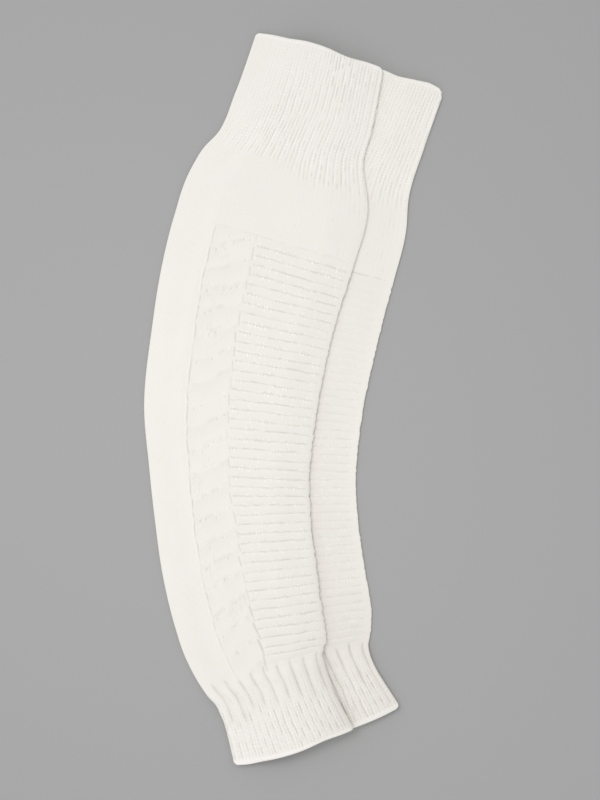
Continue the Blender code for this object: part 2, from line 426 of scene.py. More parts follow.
def upper_relief(cloth):
    """The top cuff's ribs, which run out one by one in the plain band below it."""
    down, wale, over, across = cloth.down, cloth.count, cloth.over, cloth.across
    base, band_base, rib = cloth.at["cuff_base"], cloth.at["band_base"], cloth.half / TOP_RIBS
    number = np.round(wale)
    strength = np.where(over, rib_strength(cloth, down / base), 0.5)
    # each groove ends at its own place, further down towards the right, some in a small knot
    further = ease(across, 0.42, 0.72)
    end = base + (5 * chance(number, number, 5) - 4 + 9 * further) * MM
    run_out = fade_out(down, end, 2 * MM)
    wisps = 0.16 * further * (1 - ease(down, end, end + 13 * MM))
    dashes = ease(cloth.along_line(number, down, cloth.look.dash, 31), 0.2, 0.7)
    shown = (1 - cloth.look.gaps * (1 - dashes)) * rib_beads(down, number)
    to_groove = (wale - number) * rib
    groove = np.maximum(strength * run_out, wisps) * shown * dip(to_groove, RIB_GROOVE)
    knots = (chance(number, number, 9) > 0.78) * dip(down - end, 0.6 * MM)
    groove = np.maximum(groove, 0.5 * strength * knots * dip(to_groove - 0.4 * MM, 0.8 * MM))
    # the line between the two legs of a rib's stitches, as deep as the grooves at the lower right
    legs = ease(cloth.along_line(np.floor(wale), down, 3.2 * MM, 37), 0.3, 0.75)
    leg_depth = 0.65 + 0.3 * further
    to_middle = to_nearest(wale - 0.5, 1.0) * rib
    groove = np.maximum(groove, leg_depth * strength * run_out * legs * dip(to_middle, 0.38 * MM))
    # stray strokes in the band
    in_band = ease(down, base + 4 * MM, base + 16 * MM) * fade_out(down, band_base, 2 * MM)
    strokes = in_band * ease(across, 0.45, 0.7) * stray_strokes(cloth, 2 * wale)
    rim = ease(down, 1.5 * MM, 4 * MM)
    groove = rim * np.maximum(groove, 0.22 * over * strokes)
    # painted highlight on the lit flank beside each groove, and on the mouth's rim
    flank_highlight = rim * strength * run_out * dashes * dip(to_groove - 1.0 * MM, 0.4 * MM)
    hollow = rim * run_out * strength * wave(wale)
    line = over * band_line(cloth)
    # the band is plump below the cuff that draws it in
    plump = ease(down, base - 4 * MM, base + 6 * MM) * fade_out(down, band_base, 16 * MM)
    puff = cloth.look.loft * 0.3 * MM * plump * over
    flat = 0.2 * MM * (1 - rim)
    relief = puff + flat - RIB_DEPTH * groove - WELT_DEPTH * line - 0.13 * MM * hollow
    shade = np.maximum(RIB_PAINT * groove, LINE_PAINT * line)
    return relief, shade - FLANK_PAINTED_HIGHLIGHT * np.maximum(flank_highlight, 0.5 * (1 - rim))


def panel_seam(cloth):
    """(the thin line where the plain and cable panels join, the raised cloth beside it)"""
    down = cloth.down
    sway = 0.9 * MM * (cloth.noise(down / (6 * MM), 0.0, 41) - 0.5)
    low = ease(down, cloth.at["shin"], cloth.at["ankle_base"])
    strength = 0.3 + 0.6 * ease(cloth.noise(down / (3 * MM), 0.0, 7), 0.1, 0.8)
    strength = cloth.panel_ends(3 * MM, 2.5 * MM) * strength * (1 - 0.45 * low)
    away = cloth.distance - cloth.edge("plain") - sway
    return strength * dip(away, SEAM_GROOVE), strength * dip(away + 1.2 * MM, 0.6 * MM)


def welt_pitch(stocking):
    return (stocking.at["ankle_base"] - stocking.at["band_base"]) / WELTS


def ridge_seam(cloth):
    """The seam beside the ridges: slanting strokes, each beside one to three of them."""
    down = cloth.down
    counted = (down - cloth.at["band_base"]) / (1.7 * welt_pitch(cloth))
    counted = counted + 0.5 * cloth.noise(counted / 2, 0.0, 43)
    number, phase = np.floor(counted), np.mod(counted, 1.0)
    aside = (1.7 * chance(number, number, 47) - 0.85 + 1.1 * (phase - 0.5)) * MM
    stroke = ease(phase, 0.0, 0.08) * (1 - ease(phase, 0.60, 0.76))
    # towards the ankle it is bolder and hardly broken
    low = ease(down, cloth.at["shin"], cloth.at["ankle"])
    stroke = np.maximum(stroke, (0.5 + 0.4 * cloth.noise(down / (4 * MM), 0.0, 51)) * low)
    strength = 0.35 + 0.5 * chance(number, number, 49) + 0.35 * low
    away = cloth.distance - cloth.edge("cable") - aside
    shown = cloth.panel_ends(1 * MM, 2.5 * MM) * at_least(0.05, stroke * strength)
    return shown * dip(away, SEAM_GROOVE * (1 + 0.7 * low))


def band_line(cloth):
    """The fine broken line across the upper side where the band ends."""
    distance = cloth.distance
    shown = fade_in(distance, cloth.edge("plain"), 3 * MM)
    shown = shown * fade_out(distance, cloth.half - 6 * MM, 3 * MM)
    broken = ease(cloth.noise(distance / (4 * MM), 0.0, 83), 0.1, 0.6)
    sway = 0.5 * MM * (cloth.noise(distance / (9 * MM), 0.0, 85) - 0.5)
    away = cloth.down - cloth.at["band_base"] - sway
    return cloth.look.band_line * shown * broken * dip(away, WELT_GROOVE)


def gathers(cloth):
    """(how deep in a valley, how far up a fold): the ankle cuff's ribs draw the cloth in."""
    down, half, across, seed = cloth.down, cloth.half, cloth.across, cloth.look.seed
    base, mouth = cloth.at["ankle_base"], cloth.at["ankle_mouth"]
    valleys = (across * ANKLE_RIBS + ANKLE_SHIFT) / 2
    number = np.round(valleys)
    start = base - (1 + 5 * chance(number, number, 3 + seed) + 3 * across) * MM
    deep = fade_in(down, start, 3.5 * MM) * (number > 0.5)
    # the last valley, beside the right fold, runs on to the mouth
    last = cloth.over * (number > ANKLE_RIBS / 2 - 1) * (number < ANKLE_RIBS / 2)
    end = base + (15 + 8 * chance(number, number, 4 + seed)) * MM
    run_out = 1 - ease(down, end, end + 9 * MM)
    run_on = 0.6 * last * fade_out(down, mouth - 3 * MM, 3 * MM)
    sway = 0.5 * MM * (cloth.along_line(number, down, 5 * MM, 15) - 0.5)
    away = (valleys - number) * 2 * half / ANKLE_RIBS - sway
    uneven = at_least(0.65, cloth.along_line(number, down, 4 * MM, 5))
    narrow_and_wide = 0.68 * dip(away, 0.55 * MM) + 0.32 * dip(away, 1.7 * MM)
    valley = deep * np.maximum(run_out, run_on) * uneven * narrow_and_wide
    # a fainter groove along the top of each fold
    between = (valleys - np.floor(valleys) - 0.5) * 2 * half / ANKLE_RIBS
    broken = ease(cloth.along_line(np.floor(valleys), down, 4 * MM, 25), 0.2, 0.7)
    faint = ease(down, base + 2 * MM, base + 8 * MM) * run_out * broken
    faint = 0.3 * faint * dip(between, 0.45 * MM)
    gathered = ease(down, base - 4 * MM, base + 5 * MM) * run_out
    return np.maximum(valley, faint), gathered * (1 - wave(valleys))


def with_gathers(cloth, relief, shade):
    valley, folds = gathers(cloth)
    relief = relief - GATHER_DEPTH * valley + 0.9 * MM * folds * cloth.look.loft * cloth.over
    return relief, np.where(valley > 0.02, np.maximum(shade, GATHER_PAINT * valley), shade)


def plain_relief(cloth):
    seam, beside_seam = panel_seam(cloth)
    near_seam = dip(cloth.distance - cloth.edge("plain") + 3 * MM, 4 * MM)
    strokes = 0.25 * cloth.over * near_seam * stray_strokes(cloth, cloth.count)
    groove = np.maximum(seam, strokes)
    relief = 0.15 * MM * beside_seam - SEAM_DEPTH * groove
    # painted shade in the seam and strokes, painted highlight on the raised cloth beside the seam
    return relief, LINE_PAINT * groove - 0.7 * FLANK_PAINTED_HIGHLIGHT * beside_seam


def cable_marks(cloth, aside, number, phase):
    """(short ticks and a line along each diagonal, the knots beside it, the knots' heads)"""
    group = ease(cloth.noise(aside / (4 * MM), 7.0 * number, 23), 0.5, 0.8)
    ticks = dip(to_nearest(aside, 1.5 * MM), 0.35 * MM) * dip(phase - 0.10, 0.09) * group
    line = dip(np.minimum(phase, 1 - phase) * CABLE_STEP, 0.5 * MM) * group
    cell = np.round(aside / (5 * MM))
    knot_x = aside - (cell + 0.6 * chance(cell, number, 33) - 0.3) * 5 * MM
    knot_y = (phase - 0.05 - 0.25 * chance(cell, number, 35)) * CABLE_STEP
    shown = chance(cell, number, 37) > 0.5
    knots = shown * dip(knot_x, 0.5 * MM) * dip(knot_y, 0.6 * MM)
    heads = shown * dip(knot_x - 0.9 * MM, 0.5 * MM) * dip(knot_y - 0.3 * MM, 0.6 * MM)
    return ticks, line, knots, heads


def cable_relief(cloth):
    down, distance, end = cloth.down, cloth.distance, cloth.edge("cable")
    aside = distance - cloth.edge("plain")
    sway = 0.25 * cloth.noise(aside / (12 * MM), down / (21 * MM), 19)
    counted = (down + np.tan(CABLE_RISE) * aside) / CABLE_STEP + sway
    number, phase = np.floor(counted), np.mod(counted, 1.0)
    inside = ease(aside, 0.0, 3 * MM) * fade_out(distance, end, 3 * MM)
    inside = inside * cloth.panel_ends(3 * MM, 9 * MM)
    # the cloth swells towards each diagonal and steps down past it, to a hollow
    edge = ease(phase, 0.0, 0.08)
    step = edge * (1 - phase)
    below = edge * (1 - ease(phase, 0.25, 0.85))
    below = below * ease(cloth.noise(aside / (9 * MM), 3.0 * number, 27), 0.1, 0.5)
    ticks, line, knots, heads = cable_marks(cloth, aside, number, phase)
    strokes = stray_strokes(cloth, cloth.count)
    seam, beside_seam = panel_seam(cloth)
    seams = np.maximum(seam, ridge_seam(cloth))
    band_end = band_line(cloth)
    # a raised wale beside the ridge panel
    raised = dip(distance - end + 2.5 * MM, 1.2 * MM) * cloth.panel_ends(3 * MM, 3 * MM)
    relief = inside * MM * (0.25 * step - 0.25 - 0.20 * ticks - 0.10 * line - 0.25 * knots + 0.20 * heads)
    relief = relief + 0.15 * MM * (raised + beside_seam) - SEAM_DEPTH * seams - WELT_DEPTH * band_end
    drawn = inside * (0.55 * ticks + 0.30 * line + 0.35 * strokes + 1.00 * knots)
    groove = np.maximum(np.clip(seams + drawn, 0.0, 1.0), band_end)
    # painted shade in the seams, ticks, lines and knots, painted highlight beside the seam and on the
    # knots' heads
    shade = LINE_PAINT * groove - FLANK_PAINTED_HIGHLIGHT * (0.7 * beside_seam + 1.5 * inside * heads)
    return relief, shade + inside * (HOLLOW_PAINT * below - CABLE_PALE)


def welt_strength(cloth, aside, number):
    """How deep the grooves between welts are, from 0 to 1: the first and last ones are less so."""
    look, half = cloth.look, cloth.half
    strength = 0.4 + 0.5 * ease(cloth.along_line(number, aside, 4 * MM, 13), 0.1, 0.7)
    # the rear stocking's upper grooves hardly show, but for their ends towards the fold
    shown = ease(number + 3 * aside / (half - cloth.edge("cable")), 0.3, look.first_welts)
    strength = strength * at_least(look.least_welt, shown) * (number > 0.5)
    last = 1 - ease(number, WELTS - 2.0, WELTS - 0.5)
    smooth_from = half - (QUARTER - FOLD) - look.smooth_fold
    at_fold = cloth.over * ease(cloth.distance, smooth_from - 1 * MM, smooth_from + 1 * MM)
    return strength * last * (1 - 0.9 * at_fold) * ease(aside, 0.3 * MM, 2 * MM)


def ridge_relief(cloth):
    down, look, pitch = cloth.down, cloth.look, welt_pitch(cloth)
    aside, to_right = cloth.distance - cloth.edge("cable"), cloth.half - cloth.distance
    sway = 0.9 * MM * (cloth.noise(aside / (9 * MM), down / (7 * MM), 11) - 0.5)
    from_top = down - cloth.at["band_base"] + sway
    number = np.round(from_top / pitch)
    strength = welt_strength(cloth, aside, number)
    # here a groove is a plain line, and there it zigzags from loop to loop
    looped = ease(cloth.noise(aside / (8 * MM), 5.0 * number, 53), 0.1, 0.5)
    wales = cloth.count + 0.3 * number
    loop = np.floor(wales)
    reach = 4 * (0.5 + chance(loop, number, 58))
    zigzag = (np.abs(to_nearest(wales, 1.0)) * reach - 1) * ZIGZAG * looped
    to_groove = from_top + zigzag - number * pitch
    beads = 1 - looped * 0.75 * chance(loop, number, 60) * (1 - wave(wales))
    # the rear stocking's are fainter beside the other one, and deeper at the fold
    fainter = look.faded * (2 * ease(to_right, 4 * MM, 22 * MM) - 1)
    groove = (look.welts - fainter) * strength * beads * dip(to_groove, WELT_GROOVE)
    # the loops' heads stand up over each groove here and there, and their legs below it
    loop_at = to_nearest(wales - 0.5, 1.0) + 0.4 * (chance(loop, number, 55) - 0.5)
    height = (0.5 + 0.6 * chance(loop, number, 56)) * MM
    heads = (chance(loop, number, 57) > 0.35) * dip(to_groove + height, 0.5 * MM) * dip(loop_at, 0.22)
    legs = (chance(loop, number, 59) > 0.7) * dip(to_groove - height - 0.4 * MM, 0.8 * MM)
    stand = strength * looped * np.maximum(heads, legs * dip(loop_at, 0.18))
    stand = at_least(0.4, look.welts) * stand
    # the welts flatten out at the fold, which is ragged
    body = cloth.panel_ends(2 * MM, 4 * MM) * ease(np.abs(to_right), 2 * MM, 9 * MM)
    body = body * ease(aside, 0.0, 5 * MM)
    crown = body * 0.28 * MM * wave(from_top / pitch)
    lower = ease(down, cloth.at["calf_top"], cloth.at["shin"])
    ragged = (0.8 + look.ragged * lower) * MM * (cloth.noise(down / (2.1 * MM), 0.0, 63) - 0.7)
    ragged = ragged * dip(to_right, 3 * MM) * cloth.panel_ends(3 * MM, 3 * MM)
    line = cloth.over * band_line(cloth)
    seam = ridge_seam(cloth)
    relief = LOOP_HEIGHT * stand + ragged - crown
    relief = relief - WELT_DEPTH * np.maximum(groove, line) - SEAM_DEPTH * seam
    # painted shade in the grooves and the seam, painted highlight on the standing loops
    shade = LINE_PAINT * np.maximum(np.maximum(groove, line), seam) - LOOP_PAINTED_HIGHLIGHT * stand
    return relief, shade + RIDGE_PAINT * body


def ankle_relief(cloth):
    """The ankle cuff's own fine ribs, which start below the gathers."""
    down, across, wale, rib = cloth.down, cloth.across, cloth.count, cloth.half / ANKLE_RIBS
    number = np.round(wale)
    start = cloth.at["ankle_base"] + (13 + 9 * chance(number, number, 8 + cloth.look.seed)) * MM
    rim = fade_out(down, cloth.at["ankle_mouth"] - 1.5 * MM, 3 * MM)
    at_end = np.where(cloth.over, 1 - ease(across, 0.92, 0.94), 1.0)
    shown = fade_in(down, start, 6 * MM) * rim * at_end
    dashes = ease(cloth.along_line(number, down, 3.2 * MM, 17), 0.25, 0.8)
    sway = 0.5 * MM * (cloth.along_line(number, down, 4 * MM, 35) - 0.5)
    to_groove = (wale - number) * rib - sway
    marked = (0.9 + 0.5 * across) * (0.2 + 0.65 * dashes) * rib_beads(down, number)
    legs = ease(cloth.along_line(np.floor(wale), down, 2.4 * MM, 27), 0.4, 0.8)
    to_middle = to_nearest(wale - 0.5, 1.0) * rib
    groove = np.maximum(marked * dip(to_groove, 0.5 * MM), 0.4 * legs * dip(to_middle, 0.4 * MM))
    groove = shown * groove
    # painted highlight on the lit flank beside each groove, and on the mouth's rim
    flank_highlight = shown * dashes * dip(to_groove - 1.0 * MM, 0.4 * MM)
    flat = 0.15 * MM * (1 - rim)
    relief = flat - RIB_DEPTH * groove - 0.2 * MM * shown * wave(wale)
    painted_highlight = FLANK_PAINTED_HIGHLIGHT * np.maximum(flank_highlight, 1 - rim)
    return relief, RIB_PAINT * groove - painted_highlight


def aged(cloth):
    """Painted shade, darker lower down: most at the ankle mouth, towards the right fold."""
    down, look, start = cloth.down, cloth.look, cloth.at["calf_top"]
    low = np.clip((down - start) / (cloth.stocking.length - start), 0.0, 1.0)
    above_ankle = 1 - ease(down, cloth.at["ankle"], cloth.at["neck"])
    lower_half = look.aged_low * ease(low, 0.0, 0.4) * above_ankle
    return lower_half + look.aged * low**3 * cloth.across**3


def rubbed(cloth):
    """Painted shade along the near one's right fold, on both stockings: less away from it and higher up.
    """
    look, stocking = cloth.look, cloth.stocking
    low = at_least(0.2, ease(cloth.down, cloth.at["cuff_base"], cloth.at["shin"]))
    if stocking.fold_above is None:
        away = in_from_fold(cloth.half - cloth.distance)
        shown = cloth.over * at_least(0.5, ease(away, 0.0, 0.6 * MM))
    else:
        points = stocking.points(cloth.down, cloth.around)
        away = np.full(points.shape[:2], 1.0)
        for x, y in stocking.fold_above:
            away = np.minimum(away, np.hypot(points[..., 0] - x, points[..., 1] - y))
        # the cloth in the crack itself is in shade already
        shown = at_least(0.3, ease(away, 0.2 * MM, 1.0 * MM))
    return look.rubbed * low * shown * np.exp(-away / look.rubbed_width)


def stitch_show(cloth):
    """How much the single stitches show, from 0 to 1: most in the ribs of the two cuffs."""
    down, base, ankle = cloth.down, cloth.at["cuff_base"], cloth.at["ankle_base"]
    in_cuff = fade_out(down, base + 4 * MM, 18 * MM) * left_fade(cloth.across, down / base)
    in_ankle = fade_in(down, ankle + 2 * MM, 22 * MM)
    patches = ease(cloth.noise(cloth.distance / (9 * MM), down / (12 * MM), 91), 0.2, 0.8)
    return at_least(LEAST_STITCH, np.maximum(in_cuff, in_ankle) * at_least(0.6, patches))


# ---- the pieces

# start, end: sections. down_step: distance between rows, or 0 where the welts set them.
# columns: to each wale of a panel, or 0 in a ring, whose ribs have their own.
Piece = namedtuple("Piece", "name start end relief slot down_step columns")
PIECES = (
    Piece("top_cuff", "top_mouth", "cuff_base", upper_relief, "rib_wool", 0.7 * MM, 0),
    Piece("upper_band", "cuff_base", "band_base", upper_relief, "plain_wool", 0.7 * MM, 0),
    Piece("plain_panel", "band_base", "ankle_base", plain_relief, "plain_wool", 1.0 * MM, 4),
    Piece("cable_panel_upper", "band_base", "ankle_base", cable_relief, "cable_wool", 0.6 * MM, 6),
    Piece("cable_panel_under", "band_base", "ankle_base", cable_relief, "cable_wool", 2.0 * MM, 1),
    Piece("ridge_panel", "band_base", "ankle_base", ridge_relief, "ridge_wool", 0.0, 4),
    Piece("ankle_cuff", "ankle_base", "ankle_mouth", ankle_relief, "ankle_wool", 0.6 * MM, 0),
)
# a ring's ribs on one side, and how far the first lies past the left fold, in ribs
Ring = namedtuple("Ring", "ribs shift")
RINGS = {
    "top_cuff": Ring(TOP_RIBS, 0.0),
    "upper_band": Ring(TOP_RIBS, 0.0),
    "ankle_cuff": Ring(ANKLE_RIBS, ANKLE_SHIFT),
}
# columns across one rib, as shares of it from the groove before it
RIB_COLUMNS = (0.0, 0.07, 0.14, 0.24, 0.36, 0.44, 0.5, 0.56, 0.64, 0.76, 0.86, 0.93)
UNDER_RIB_COLUMNS = (0.0, 0.15, 0.5, 0.85)
# rows across one welt, as shares of the pitch from the groove before it
WELT_ROWS = (0.0, 0.045, 0.09, 0.15, 0.28, 0.5, 0.72, 0.85, 0.91, 0.955)
RIDGE_TURN = 0.53  # the share of the ridge panel past which it is under, and its columns wider apart
RIM_ROWS = 6  # round the rim of a mouth
INSIDE_ROWS = 3  # one row inside a mouth for this many outside


def rows_of(piece, stocking):
    """Distances down the stocking of the piece's rows."""
    start, end = stocking.at[piece.start], stocking.at[piece.end]
    if piece.down_step == 0:
        pitch = welt_pitch(stocking)
        rows = [start + (welt + share) * pitch for welt in range(WELTS) for share in WELT_ROWS]
        return np.array([*rows, end])
    count = int(round((end - start) / piece.down_step))
    # a mouth's rim is rounded, so its cloth stops the rim's radius short
    if piece.start == "top_mouth":
        start = start + WALL / 2
    if piece.end == "ankle_mouth":
        end = end - WALL / 2
    return np.linspace(start, end, count + 1)


def rib_columns(stocking, down, ring):
    """(distance round, ribs counted round): columns that follow the ribs as they sway."""
    over = [rib + share for rib in range(ring.ribs) for share in RIB_COLUMNS]
    under = [ring.ribs + rib + share for rib in range(ring.ribs) for share in UNDER_RIB_COLUMNS]
    counted = np.array([[*over, *under]])
    sway = 0.30 * (stocking.noise(down / (13 * MM), counted / 1.5, 61) - 0.5)
    sway = sway * np.sin(pi * counted / ring.ribs) ** 2
    around = (counted - ring.shift + sway) / ring.ribs
    # towards the bottom of the top cuff the ribs at the right are further apart
    if ring.ribs == TOP_RIBS:
        share = np.where(around < 1, around, 2 - around)
        spread = 0.13 * ease(down, stocking.at["cuff_middle"], stocking.at["cuff_base"])
        around = around - np.where(around < 1, 1, -1) * spread * share * (1 - share)
    return around * stocking.half(down), np.broadcast_to(counted, sway.shape)


def panel_columns(piece, stocking, down):
    """(distance round, wales counted across)"""
    half = stocking.half(down)
    plain, cable = stocking.edge("plain", down), stocking.edge("cable", down)
    low, high = {
        "plain_panel": (-plain, plain),
        "cable_panel_upper": (plain, cable),
        "cable_panel_under": (-cable, -plain),
        "ridge_panel": (cable, 2 * half - cable),
    }[piece.name]
    wales = int(round(float(np.median(high - low)) / STITCH))
    counted = np.arange(wales * piece.columns + 1) / piece.columns
    if piece.name == "ridge_panel":
        turn = int(wales * RIDGE_TURN)
        counted = np.concatenate([counted[: turn * piece.columns], np.arange(turn, wales + 1)])
    around = low + (high - low) * counted / wales
    return around, np.broadcast_to(counted, around.shape)


# The radius of each mouth's corners, at its left and right, and how far its edge is drawn in,
# in millimetres: most at these shares of its width, or out where that is less than 0.
Bend = namedtuple("Bend", "across wide deep")
Mouth = namedtuple("Mouth", "left right bends")
MOUTHS = {
    "near": {
        "top_mouth": Mouth(2.5, 4.0, (Bend(0.71, 0.14, 2.1), Bend(0.12, 0.10, -0.5))),
        "ankle_mouth": Mouth(3.0, 2.0, (Bend(0.74, 0.15, 1.4), Bend(0.12, 0.09, -0.8))),
    },
    "rear": {
        "top_mouth": Mouth(2.0, 6.0, (Bend(0.64, 0.09, 1.4), Bend(0.86, 0.06, -1.1))),
        "ankle_mouth": Mouth(2.0, 3.0, ()),
    },
}


def drawn_in(stocking, down, around, mouth):
    """How far a mouth's edge is drawn in from the plane of its section."""
    mouth = MOUTHS[stocking.name][mouth]
    distance, half = stocking.from_left(down, around)[0], stocking.half(down)
    # a thin rim is rounded in less
    pull = (stocking.wall(down, around) - WALL) / 2
    for radius, to_fold in ((mouth.left * MM, distance), (mouth.right * MM, half - distance)):
        inside = np.clip(radius - in_from_fold(to_fold), 0.0, radius)
        pull = pull + radius - np.sqrt(radius**2 - inside**2)
    for bend in mouth.bends:
        pull = pull + bend.deep * MM * dip(distance / half - bend.across, bend.wide)
    return pull


def mouth_rows(points, normals, walls, at_top):
    """The rounded rim of a mouth and the inside of the cloth, as rows that carry on past it."""
    order = slice(None) if at_top else slice(None, None, -1)
    points, normals, walls = points[order], normals[order], walls[order][..., None]
    rim = walls[0] / 2
    outward = points[0] - points[2]
    outward /= np.linalg.norm(outward, axis=-1, keepdims=True)
    rows = []
    for angle in np.linspace(pi / 8, pi * 7 / 8, RIM_ROWS):
        rows.append(points[0] - normals[0] * rim * (1 - np.cos(angle)) + outward * rim * np.sin(angle))
    inner = points - normals * walls
    steps = np.linalg.norm(np.diff(points, axis=0), axis=-1).mean(axis=1)
    depth = np.concatenate([[0.0], np.cumsum(steps)])
    rows += [inner[i] for i in range(0, len(inner), INSIDE_ROWS) if depth[i] < TURNED_IN]
    return np.array(rows)


def placed(name, data):
    """A new object of the scene."""
    obj = bpy.data.objects.new(name, data)
    bpy.context.scene.collection.objects.link(obj)
    return obj


def corners_of(index):
    """The four corners of each cell of a grid of point numbers, one row for each cell."""
    corners = (index[:-1, :-1], index[1:, :-1], index[1:, 1:], index[:-1, 1:])
    return np.stack([corner.reshape(-1) for corner in corners], axis=1)


def knitted_mesh(name, points, uvs, shades, stitches, closed):
    """A mesh of quads through a grid of points, with its stitch UVs and its two values a point."""
    index = np.arange(points[..., 0].size).reshape(points.shape[:2])
    if closed:
        index = np.concatenate([index, index[:, :1]], axis=1)
    mesh = bpy.data.meshes.new(name)
    mesh.from_pydata(points.reshape(-1, 3).tolist(), [], corners_of(index).tolist())
    layer = mesh.uv_layers.new(name="stitches")
    # the column that closes a ring has the UVs past its last column, so that none run back
    loops = corners_of(np.arange(uvs[..., 0].size).reshape(uvs.shape[:2])).reshape(-1)
    layer.data.foreach_set("uv", uvs.reshape(-1, 2)[loops].reshape(-1))
    for attribute, values in (("shade", shades), ("stitch", stitches)):
        layer = mesh.attributes.new(attribute, "FLOAT", "POINT")
        layer.data.foreach_set("value", values.reshape(-1).astype(np.float32))
    mesh.shade_smooth()
    mesh.update()
    return mesh


def carried_on(grid, rows, at_top):
    """A grid with rows added above its first one, or below its last one."""
    return np.concatenate([rows[::-1], grid] if at_top else [grid, rows])


def knit(piece, stocking, wool):
    """Makes one knitted piece, hangs it on the root body and hides the solid it stands for."""
    at_top, at_bottom = piece.start == "top_mouth", piece.end == "ankle_mouth"
    down = rows_of(piece, stocking)[:, None]
    if not at_top:
        down = np.concatenate([down[:1] - TUCKED, down])
    closed = piece.name in RINGS
    if closed:
        around, counted = rib_columns(stocking, down, RINGS[piece.name])
    else:
        around, counted = panel_columns(piece, stocking, down)
    down = np.broadcast_to(down, around.shape)
    if at_top:
        near_mouth = 1 - ease(down, 0.0, 25 * MM)
        down = down + near_mouth * drawn_in(stocking, down, around, "top_mouth")
    if at_bottom:
        near_mouth = ease(down, stocking.length - 15 * MM, stocking.length)
        down = down - near_mouth * drawn_in(stocking, down, around, "ankle_mouth")

    cloth = Cloth(stocking, down, around, counted)
    relief, shades = with_gathers(cloth, *piece.relief(cloth))
    # painted shade towards the lower right and along the near one's right fold
    shades = shades + aged(cloth) + rubbed(cloth)
    normals = stocking.normals(down, around)
    dips = stocking.noise(down / (38 * MM), around / (33 * MM), 0)
    relief = relief - SWELL * dips * ease(normals[..., 2], 0.0, 0.8)
    # the cloth is pressed flat where it lies on something
    relief = np.where(normals[..., 2] < -0.1, np.minimum(relief, 0.0), relief)
    points = stocking.points(down, around) + normals * relief[..., None]
    if not at_top:
        points[0] -= normals[0] * TUCKED_DEEP

    stitches = stitch_show(cloth)
    course = RIB_COURSE if closed else COURSE
    if closed:
        counted = np.concatenate([counted, counted[:, :1] + 2 * RINGS[piece.name].ribs], axis=1)
    # all of a piece's rows have the same height in the stitch map, so that no course slants
    uvs = np.stack([counted, np.broadcast_to(down[:, :1] / course, counted.shape)], axis=-1)
    if at_top or at_bottom:
        turned = mouth_rows(points, normals, stocking.wall(down, around), at_top)
        rows = np.arange(1, len(turned) + 1)[:, None, None]
        past = rows * np.array([0.0, -TURNED_COURSE if at_top else TURNED_COURSE])
        smooth = np.zeros((len(turned), shades.shape[1]))
        points = carried_on(points, turned, at_top)
        shades = carried_on(shades, smooth, at_top)
        stitches = carried_on(stitches, smooth + 1, at_top)
        uvs = carried_on(uvs, (uvs[:1] if at_top else uvs[-1:]) + past, at_top)

    name = f"{stocking.name}_{piece.name}_knit"
    mesh = knitted_mesh(name, points, uvs, shades, stitches, closed)
    mesh.materials.append(wool)
    obj = placed(name, mesh)
    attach(obj, "root")
    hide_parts(f"{stocking.name}_{piece.name}")
    middle = len(around) // 2
    width = around[middle, -1] - around[middle, 0]
    if closed:
        width = 2 * stocking.half(down[middle, 0])


# ---- wool

GROOVE_SHADE = (0.77, 0.76, 0.735)  # the colour at a shade of 1, as a share of the face's
BETWEEN = 0.25  # how much of that painted shade the gaps between the strands have where stitches show
FACE = 0.13  # and how much of it the face has in the ribs
EVEN = 0.26  # and how much more in the plain cloth, where the stitches don't show
MOTTLE = 0.15  # and how much uneven patches have
MOTTLE_SCALE = 60.0
FIBRE_SCALE = 1400.0
STITCH_HEIGHT = 0.25 * MM
FIBRE_HEIGHT = 0.25  # as a share of a stitch's
LEAN = 1.3  # of a stitch's strands, in courses to a wale


class Nodes:
    """Short calls for shader nodes."""

    def __init__(self, tree):
        self.tree = tree

    def add(self, kind, **settings):
        node = self.tree.nodes.new(kind)
        for key, value in settings.items():
            setattr(node, key, value)
        return node

    def link(self, output, socket):
        self.tree.links.new(output, socket)

    def math(self, operation, first, second=None):
        node = self.add("ShaderNodeMath", operation=operation)
        for socket, value in zip(node.inputs, (first, second)):
            if isinstance(value, (int, float)):
                socket.default_value = value
            elif value is not None:
                self.link(value, socket)
        return node.outputs[0]

    def noise(self, vector, scale, detail):
        node = self.add("ShaderNodeTexNoise")
        node.inputs["Scale"].default_value = scale
        node.inputs["Detail"].default_value = detail
        self.link(vector, node.inputs["Vector"])
        return node.outputs["Fac"]


def shaded_material(name, settings):
    """A material with a Principled shader that has these settings, and the shader."""
    material = bpy.data.materials.new(name)
    material.use_nodes = True
    shader = material.node_tree.nodes["Principled BSDF"]
    for socket, value in settings.items():
        shader.inputs[socket].default_value = value
    return material, shader


def stitch_height(nodes):
    """Two slanted strands to each stitch, from the stitch UVs: 0 between strands, 1 on them."""
    math = nodes.math
    uv = nodes.add("ShaderNodeUVMap", uv_map="stitches").outputs[0]
    parts = nodes.add("ShaderNodeSeparateXYZ")
    nodes.link(uv, parts.inputs[0])
    aside = math("ABSOLUTE", math("SUBTRACT", math("FRACT", parts.outputs[0]), 0.5))
    strand = math("SINE", math("MULTIPLY", aside, 2 * pi))
    leaning = math("ADD", parts.outputs[1], math("MULTIPLY", aside, -LEAN))
    loop = math("SINE", math("MULTIPLY", math("FRACT", leaning), pi))
    return math("MULTIPLY", strand, math("POWER", loop, 0.7))


